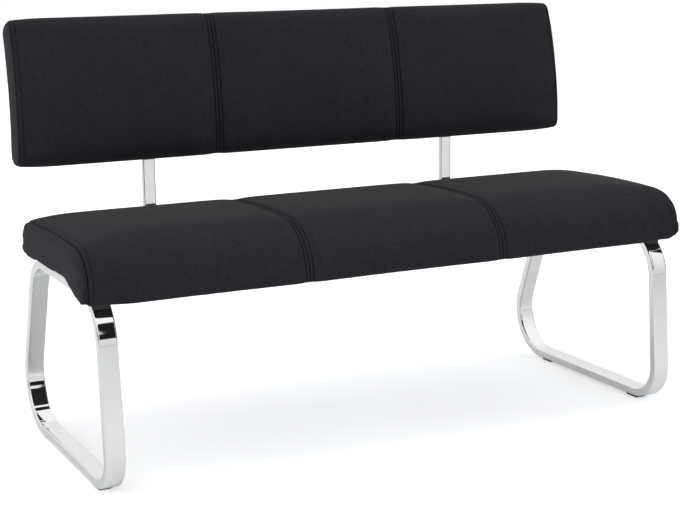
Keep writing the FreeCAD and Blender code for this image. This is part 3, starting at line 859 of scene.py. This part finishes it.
def stitch_row(bm, place, shown, thread):
    """Lay stitches along the loop of vertices at a place across the pad."""
    row = [
        edge
        for edge in bm.edges
        if all(abs(vert.co.x - place * MM) < NEAR * MM for vert in edge.verts)
    ]
    path = [(vert.co.copy(), vert.normal.copy()) for vert in walk(row)]
    lay_stitches(path, shown, thread)


def lay_stitches(path, shown, thread):
    """Stitches at an even pitch along points that have normals, where the row shows."""
    row = bmesh.new()
    wait = 0
    for (here, normal), (there, other) in zip(path, path[1:]):
        run = there - here
        while wait < run.length:
            point = here + run * wait / run.length
            if shown(point):
                one_stitch(row, point, run.normalized(), normal)
            wait += STITCH_PITCH * MM
        wait -= run.length
    mesh = mesh_from("stitches", row)
    thread.from_mesh(mesh)
    bpy.data.meshes.remove(mesh)


def one_stitch(thread, point, along, normal):
    side = normal.cross(along).normalized()
    out = along.cross(side).normalized()
    turn = Matrix((side, out, along)).transposed().to_4x4()
    size = Matrix.Diagonal((THREAD / 2 * MM, THREAD / 2 * MM, STITCH_LENGTH / 2 * MM, 1))
    place = Matrix.Translation(point + out * THREAD / 4 * MM)
    bmesh.ops.create_uvsphere(thread, u_segments=6, v_segments=4, radius=1, matrix=place @ turn @ size)


def taper(verts, section):
    """Make a pad wider at its foot than at its top."""
    share, middle, half = section["taper"]
    for vert in verts:
        vert.co.x *= 1 + share * (middle - vert.co.z / MM) / half


def prism(corners, low, high):
    """A solid with a flat outline, from one place across the bench to another."""
    bm = bmesh.new()
    face = rounded_face(bm, flat_points(corners), [radius * MM for y, z, radius in corners])
    bmesh.ops.translate(bm, verts=bm.verts, vec=(low * MM, 0, 0))
    made = bmesh.ops.extrude_face_region(bm, geom=[face])["geom"]
    bmesh.ops.translate(bm, verts=only(bmesh.types.BMVert, made), vec=((high - low) * MM, 0, 0))
    return linked_object("core", mesh_from("core", bm))


def carved(mesh, cores):
    """The mesh with room cut in it for the hard pieces inside, or the whole mesh if the cut fails."""
    pad = linked_object("pad", mesh)
    for core in cores:
        room = pad.modifiers.new("Room", "BOOLEAN")
        room.operation = "DIFFERENCE"
        room.solver = "EXACT"
        room.object = core
    cut = evaluated(pad)
    bpy.data.objects.remove(pad)
    if len(cut.vertices) < len(mesh.vertices) / 2:
        return mesh
    bpy.data.meshes.remove(mesh)
    return cut


def cushion(name, node, section, edges, thread):
    """One padded section: blown up between its seams, then sewn along them, closed and carved.

    edges are its two ends across the bench, each a seam or a rolled end, as (kind, place).
    """
    (first_kind, first), (last_kind, last) = edges
    stations = even_stations(first, last, section)
    if first_kind == "end":
        stations = roll_stations(-1, section)[::-1] + stations
    if last_kind == "end":
        stations = stations + roll_stations(math.copysign(1, last), section)

    def held(point):
        x = point.x / MM
        at_edge = min(abs(x - first), abs(x - last)) < 0.1
        beyond = abs(x) > section["roll_start"] + 0.1
        return at_edge or beyond or section["is_held"](point)

    bm = cover_tube(section, stations)
    mesh = padded_mesh(name, bm, held, section["most"])
    bm = bmesh.new()
    bm.from_mesh(mesh)
    bm.verts.layers.float.new("sewn")
    bpy.data.meshes.remove(mesh)
    for kind, place in edges:
        inward = 1 if place < (first + last) / 2 else -1
        if kind == "seam":
            draw_in(bm, place, inward, SEAM_CUTS, seam_draw, seam_shade, section["is_still"])
            row = place + inward * ROW_OFFSET
        else:
            row = math.copysign(section["roll_end"] - END_ROW_OFFSET, place)
            draw_in(bm, row, inward, ROW_CUTS, row_draw, row_shade, section["is_still"])
        bm.normal_update()
        stitch_row(bm, row, section["shown"], thread)
        if kind == "seam":
            for vert in bm.verts:
                if abs(vert.co.x - place * MM) < NEAR * MM:
                    vert.co.x += inward * SEAM_GAP * MM
    bmesh.ops.holes_fill(bm, edges=[edge for edge in bm.edges if edge.is_boundary], sides=0)
    taper(bm.verts, section)
    mesh = carved(mesh_from(name, bm), section["cores"])
    piece = finish_mesh(name, mesh, CLOTH, [node])
    return piece


def back_slice(front, rear, low, upper, front_radius, rear_radius):
    """The backrest's section between two depths, as (y, z, radius) corners."""
    return [
        (BACK_FRONT + rear, low, rear_radius),
        (*knee_point(rear), BACK_CURVE - rear),
        (*back_point(rear, upper), rear_radius),
        (*back_point(front, upper), front_radius),
        (*knee_point(front), BACK_CURVE - front),
        (BACK_FRONT + front, low, front_radius),
    ]


def depth_behind(point):
    """How far a point lies behind the backrest's front face."""
    y, z = point.y / MM, point.z / MM
    tangent = BACK_CURVE * math.tan(BACK_LEAN / 2)
    centre_y, centre_z = BACK_FRONT + BACK_CURVE, BACK_KNEE - tangent
    angle = math.atan2(z - centre_z, centre_y - y)
    if angle < 0:
        return y - BACK_FRONT
    if angle < BACK_LEAN:
        return BACK_CURVE - math.hypot(z - centre_z, centre_y - y)
    return (y - BACK_FRONT) * math.cos(BACK_LEAN) - (z - BACK_KNEE) * math.sin(BACK_LEAN)


def on_split(point):
    return abs(depth_behind(point) - BACK_SPLIT) < 0.5


def near_split(point):
    return abs(depth_behind(point) - BACK_SPLIT) < SPLIT_EDGE + 2


def under_seat(point):
    return point.z < (SEAT_UNDER + 0.5) * MM and point.y > SLOPE_END * MM


# How far the rim of the underside hangs at the ends, as (y, drop); the lip is lifted a little
RIM_HANG = ((-262, -5), (-225, 2), (-160, 2), (152, 9))


def seat_hang(point):
    y = point.y / MM
    drop = RIM_HANG[0][1]
    for (start, low), (end, high) in zip(RIM_HANG, RIM_HANG[1:]):
        if y > start:
            drop = low + (high - low) * min(1, (y - start) / (end - start))
    return drop


# Room in the pads for the hard pieces inside them: seat board with front rail, backrest board and the
# upper ends of the posts, each with an outline and how far it reaches across the bench
SEAT_CORE = [
    (144, 419, 0),
    (144, 440, 0),
    (-157, 440, 0),
    (-265, 434.3, 0),
    (-265, 388.3, 0),
    (-164, 426, 0),
    (-157, 425, 0),
    (-157, 419, 0),
]
SEAT_CORE_REACH = 686
BOARD_CORE = back_slice(33, BACK_SPLIT + 1, 602, 145, 0, 0)
BOARD_CORE_REACH = 678
POST_CORE = back_slice(BACK_SPLIT - 1, 64.5, 565, 128.4, 0, 0)
POST_CORE_REACH = 14.4
seat_core = prism(SEAT_CORE, -SEAT_CORE_REACH, SEAT_CORE_REACH)
board_core = prism(BOARD_CORE, -BOARD_CORE_REACH, BOARD_CORE_REACH)
post_cores = []
for sign in SIDES.values():
    middle = sign * POST_CENTRE
    post_cores.append(prism(POST_CORE, middle - POST_CORE_REACH, middle + POST_CORE_REACH))


# How each pad is made: its outline, where it is held, and how its ends are shaped. At an end the cover
# falls, then drops as it rolls over; front, rear and underside take a share of both, and the underside's
# rim hangs. The end panel is given by its rings (place, roll) and the steps (inset, rise) of its outer
# face; taper is (share, middle height, half height); most is how far the padding may lift the cover.
SEAT = {
    "outline": seat_outline(END_NOSE),
    "middle_outline": seat_outline(MIDDLE_NOSE),
    "is_joint": lambda point: False,
    "is_held": under_seat,
    "is_still": lambda point: False,
    "start_at": Vector((0, 0, SEAT_UNDER * MM)),
    "roll_start": SEAT_ROLL_START,
    "roll_end": SEAT_ROLL_END,
    "fall": 5,
    "front_share": 0.3,
    "rear_share": 0.3,
    "taper": (0, 465, 41),
    "under_fall": 0,
    "under_roll": 0.3,
    "hang": seat_hang,
    "drop": 5.5,
    "panel": ((688.6, 8.9), (691.2, 8.2), (692.2, 5.4), (694, 3.8), (697, 4.6), (700, 7.4)),
    "panel_steps": ((3.0, 1.6), (4.0, 1.1), (5.0, 0.8), (6.0, 0.4)),
    "panel_most": 2.5 * MM,
    "shown": lambda point: not under_seat(point),
    "most": 6 * MM,
    "cores": [seat_core],
}
BACK = {
    "outline": back_slice(0, BACK_SPLIT, BACK_LOW, BACK_UPPER, BACK_CORNER, SPLIT_EDGE),
    "is_joint": on_split,
    "is_held": near_split,
    "is_still": near_split,
    "start_at": Vector((0, (BACK_FRONT + BACK_SPLIT) * MM, BACK_LOW * MM)),
    "roll_start": BACK_ROLL_START,
    "roll_end": BACK_ROLL_END,
    "fall": 3,
    "front_share": 0.8,
    "rear_share": 1,
    "taper": (0.0045, 748, 158),
    "under_fall": 1,
    "under_roll": 1,
    "hang": lambda point: 0,
    "drop": 3,
    "panel": ((682.1, 6.4), (684.7, 5.8), (685.3, 4.2), (686.3, 4.6)),
    "panel_steps": ((1.5, 0.6), (3.0, 0.5), (4.0, 0.3)),
    "panel_most": 1.2 * MM,
    "shown": lambda point: not on_split(point),
    "most": 6 * MM,
    "cores": [board_core],
}
REAR = BACK | {
    "outline": back_slice(BACK_SPLIT, BACK_THICKNESS, BACK_LOW, BACK_UPPER, SPLIT_EDGE, BACK_CORNER),
    "front_share": 1,
    "most": 5 * MM,
    "cores": post_cores,
}


def three_sections(prefix, node, section, roll_start, thread):
    spans = {
        "left": (("seam", -SEAM_PLACE), ("end", -roll_start)),
        "centre": (("seam", -SEAM_PLACE), ("seam", SEAM_PLACE)),
        "right": (("seam", SEAM_PLACE), ("end", roll_start)),
    }
    for side, edges in spans.items():
        cushion(f"{prefix}_{side}", f"{node}_{side}", section, edges, thread)


seat_thread = bmesh.new()
three_sections("seat_cushion", "seat_pad", SEAT, SEAT_ROLL_START, seat_thread)
finish_piece("seat_topstitching", seat_thread, THREAD_FINISH)
back_thread = bmesh.new()
three_sections("backrest_cushion", "backrest_pad", BACK, BACK_ROLL_START, back_thread)
rear_edges = (("end", -BACK_ROLL_START), ("end", BACK_ROLL_START))
cushion("backrest_cushion_rear", "backrest_rear_pad", REAR, rear_edges, back_thread)
taper(back_thread.verts, BACK)
finish_piece("backrest_topstitching", back_thread, THREAD_FINISH)

for core in [seat_core, board_core, *post_cores]:
    bpy.data.objects.remove(core)

# End panels: thin padded pieces sewn into the folds at the ends, held up to just beyond the fold
PANEL_HELD = 1
PANEL_VOXEL = 3.0
PANEL_SMOOTHING = 6


def end_panels(name, node, section):
    """The left end panel, blown up, and the right one as its mirror image."""
    bm = cover_tube(section, [(-place, section["fall"], roll) for place, roll in section["panel"]])
    rims = [edge for edge in bm.edges if edge.is_boundary]
    caps = bmesh.ops.holes_fill(bm, edges=rims, sides=0)["faces"]
    bmesh.ops.recalc_face_normals(bm, faces=bm.faces)
    panel = [min(caps, key=lambda face: face.calc_center_median().x)]
    for step, rise in section["panel_steps"]:
        bmesh.ops.inset_region(
            bm, faces=panel, thickness=step * MM, use_even_offset=True, use_boundary=True
        )
        raised = {vert for face in panel for vert in face.verts}
        bmesh.ops.translate(bm, verts=list(raised), vec=(-rise * MM, 0, 0))
    mesh = mesh_from(name, bm)
    piece = linked_object(name, mesh)
    grid = piece.modifiers.new("Grid", "REMESH")
    grid.mode = "VOXEL"
    grid.voxel_size = PANEL_VOXEL * MM
    fine = evaluated(piece)
    piece.modifiers.remove(grid)
    piece.data = fine

    def held(point):
        return abs(point.x) < (section["roll_end"] + PANEL_HELD) * MM

    inflate(piece, held, section["panel_most"])
    soft = piece.modifiers.new("Soft", "SMOOTH")
    soft.factor = 0.5
    soft.iterations = PANEL_SMOOTHING
    finer = piece.modifiers.new("Finer", "SUBSURF")
    finer.levels = finer.render_levels = 1
    mesh = evaluated(piece)
    bpy.data.objects.remove(piece)
    cover = mesh.uv_layers.new(name="cover")
    for loop in mesh.loops:
        point = mesh.vertices[loop.vertex_index].co
        cover.data[loop.index].uv = (point.y, point.z)
    taper(mesh.vertices, section)
    other = mesh.copy()
    other.transform(Matrix.Scale(-1, 4, (1, 0, 0)))
    other.flip_normals()
    for side, panel in (("left", mesh), ("right", other)):
        padded = finish_mesh(f"{name}_{side}", panel, CLOTH, [f"{node}_{side}"])


BACK_WHOLE = BACK | {
    "outline": back_slice(0, BACK_THICKNESS, BACK_LOW, BACK_UPPER, BACK_CORNER, BACK_CORNER),
    "is_joint": lambda point: False,
}
end_panels("seat_end_cover", "seat_end", SEAT)
end_panels("backrest_end_cover", "backrest_end", BACK_WHOLE)

# Finishes of the pieces that keep their built shape
FINISHES = {
    "front_block": PLASTIC,
    "rear_spacer": PLASTIC,
    "glide_screws": ZINC,
    "glide": PLASTIC,
    "post_plug": PLASTIC,
    "leg_bolts": ZINC,
    "leg_washers": ZINC,
    "leg_tee_nuts": ZINC,
    "post_bolts": ZINC,
    "post_tee_nuts": ZINC,
    "backrest_screws": ZINC,
    "seat_board": PLYWOOD,
    "seat_front_rail": PLYWOOD,
    "backrest_board": PLYWOOD,
    "seat_underside_cover": DUST_CLOTH,
}
for name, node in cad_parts.items():
    for start, finish in FINISHES.items():
        if name.startswith(start):
            node.data.materials.clear()
            node.data.materials.append(finish)
            break

# Floor
FLOOR_SIZE = 9.0
CAMERA_LIFT = 0.42
MIRROR_LIFT = 0.05
# In mirrors the floor is dimmer farther away, in metres from the middle
DIM_NEAR, DIM_FAR, DIM_MOST = 1.2, 5.0, 0.3


def studio_floor():
    """Matt white floor: it keeps the shadow, and the camera sees its lit part as plain white."""
    material = bpy.data.materials.new("white_floor")
    material.use_nodes = True
    tree = material.node_tree
    tree.nodes.clear()
    rays = add(tree, "LightPath")
    place = add(tree, "TexCoord").outputs["Object"]
    distance = add(tree, "VectorMath", {0: place}, operation="LENGTH").outputs["Value"]
    far = add(
        tree,
        "MapRange",
        {"Value": distance, "From Min": DIM_NEAR, "From Max": DIM_FAR, "To Max": DIM_MOST},
    )
    dim = add(
        tree, "Math", {0: far.outputs[0], 1: rays.outputs["Is Glossy Ray"]}, operation="MULTIPLY"
    )
    tone = add(
        tree,
        "Mix",
        {0: dim.outputs[0], 6: colour("#f2f4f8"), 7: (0, 0, 0, 1)},
        data_type="RGBA",
    )
    paper = add(tree, "BsdfDiffuse", {"Color": tone.outputs[2]})
    mirrored = add(
        tree, "Math", {0: rays.outputs["Is Glossy Ray"], 1: MIRROR_LIFT}, operation="MULTIPLY"
    )
    lift = add(
        tree,
        "Math",
        {0: rays.outputs["Is Camera Ray"], 1: CAMERA_LIFT, 2: mirrored.outputs[0]},
        operation="MULTIPLY_ADD",
    )
    glow = add(tree, "Emission", {"Strength": lift.outputs[0]})
    both = add(tree, "AddShader", {0: paper.outputs[0], 1: glow.outputs[0]})
    add(tree, "OutputMaterial", {"Surface": both.outputs[0]})
    return material


bm = bmesh.new()
bmesh.ops.create_grid(bm, x_segments=1, y_segments=1, size=FLOOR_SIZE)
floor_mesh = bpy.data.meshes.new("floor")
bm.to_mesh(floor_mesh)
bm.free()
floor_mesh.materials.append(studio_floor())
floor = bpy.data.objects.new("floor", floor_mesh)
scene.collection.objects.link(floor)

# Studio: an even white room that is brighter above; its dark openings, and a lit pane in one of
# them, show only in reflections; each is (from bearing, to bearing, from height, to height), with
# bearings in degrees from straight before the bench to its right and heights as the rise of the view
AMBIENT = 0.29
MIRRORED_LOW, MIRRORED_HIGH, MIRRORED_TOP = 0.78, 1.1, 0.7
OPENINGS = (
    (-4, 31, 0.17, 0.68),
    (50, 78, 0.1, 0.68),
    (46, 114, -0.04, 0.2),
    (-100, -40, 0.04, 0.25),
)
OPENING_LIGHT = 0.015
PANE = (11, 17.3, 0.35, 0.49)
PANE_LIGHT = 0.95
SOFT = 0.02
world = bpy.data.worlds.new("studio")
scene.world = world
world.use_nodes = True
tree = world.node_tree
tree.nodes.clear()
rays = add(tree, "LightPath")
way = add(tree, "SeparateXYZ", {"Vector": add(tree, "TexCoord").outputs["Generated"]})
ahead = add(tree, "Math", {0: way.outputs["Y"], 1: -1.0}, operation="MULTIPLY")
bearing = add(
    tree, "Math", {0: way.outputs["X"], 1: ahead.outputs[0]}, operation="ARCTAN2"
).outputs[0]


def inside(low, high, bottom, top):
    """One within a stretch of bearings and heights of the room, and nought outside it."""
    share = 1.0
    for value, edge, into in (
        (bearing, math.radians(low), SOFT),
        (bearing, math.radians(high), -SOFT),
        (way.outputs["Z"], bottom, SOFT),
        (way.outputs["Z"], top, -SOFT),
    ):
        limit = add(tree, "MapRange", {"Value": value, "From Min": edge, "From Max": edge + into})
        share = add(tree, "Math", {0: share, 1: limit.outputs[0]}, operation="MULTIPLY").outputs[0]
    return share


mirrored = add(
    tree,
    "MapRange",
    {
        "Value": way.outputs["Z"],
        "From Max": MIRRORED_TOP,
        "To Min": MIRRORED_LOW,
        "To Max": MIRRORED_HIGH,
    },
).outputs[0]
for opening in OPENINGS:
    shut = add(tree, "MapRange", {"Value": inside(*opening), "To Min": 1.0, "To Max": OPENING_LIGHT})
    mirrored = add(tree, "Math", {0: mirrored, 1: shut.outputs[0]}, operation="MULTIPLY").outputs[0]
mirrored = add(
    tree, "Math", {0: inside(*PANE), 1: PANE_LIGHT, 2: mirrored}, operation="MULTIPLY_ADD"
).outputs[0]
room = add(tree, "Background", {"Color": (1, 1, 1, 1), "Strength": AMBIENT})
reflected = add(tree, "Background", {"Color": (1, 1, 1, 1), "Strength": mirrored})
backdrop = add(tree, "Background", {"Color": (1, 1, 1, 1), "Strength": 1.0})
lit = add(
    tree, "MixShader", {0: rays.outputs["Is Glossy Ray"], 1: room.outputs[0], 2: reflected.outputs[0]}
)
seen = add(
    tree, "MixShader", {0: rays.outputs["Is Camera Ray"], 1: lit.outputs[0], 2: backdrop.outputs[0]}
)
add(tree, "OutputWorld", {"Surface": seen.outputs[0]})

# Lamps: soft light from above and from both sides,
# as (name, where it comes from, strength, spread in degrees, tint)
LAMPS = (
    ("ceiling", (-0.4, -0.6, 3.0), 1.46, 100, (1.0, 0.98, 0.94)),
    ("left_panel", (-3.0, 0.3, 0.6), 1.75, 40, (1.0, 1.0, 1.0)),
    ("right_panel", (3.0, -0.5, 0.6), 1.7, 40, (1.0, 1.0, 1.0)),
)
for name, place, strength, spread, tint in LAMPS:
    light = bpy.data.lights.new(name, "SUN")
    light.energy = strength
    light.angle = math.radians(spread)
    light.color = tint
    lamp = bpy.data.objects.new(name, light)
    lamp.rotation_euler = Vector(place).to_track_quat("Z", "Y").to_euler()
    lamp.visible_glossy = False
    scene.collection.objects.link(lamp)

# Camera: where the photograph was taken from
CAMERA_PLACE = Vector((-1510.7, -3001.0, 1054.0)) * MM
YAW = math.radians(26.403)
PITCH = math.radians(11.519)
ROLL = math.radians(-0.664)
FOCAL_PIXELS = 1522.7
FRAME_PIXELS = 680
SENSOR = 36
right = Vector((math.cos(YAW), -math.sin(YAW), 0))
ahead = Vector((math.sin(YAW), math.cos(YAW), 0))
forward = math.cos(PITCH) * ahead - math.sin(PITCH) * Vector((0, 0, 1))
upward = math.sin(PITCH) * ahead + math.cos(PITCH) * Vector((0, 0, 1))
right, upward = (
    math.cos(ROLL) * right + math.sin(ROLL) * upward,
    math.cos(ROLL) * upward - math.sin(ROLL) * right,
)
lens = bpy.data.cameras.new("camera")
lens.sensor_fit = "HORIZONTAL"
lens.sensor_width = SENSOR
lens.lens = SENSOR * FOCAL_PIXELS / FRAME_PIXELS
camera = bpy.data.objects.new("camera", lens)
turn = Matrix((right, upward, -forward)).transposed().to_4x4()
camera.matrix_world = Matrix.Translation(CAMERA_PLACE) @ turn
scene.collection.objects.link(camera)
scene.camera = camera
scene.view_settings.view_transform = "Standard"
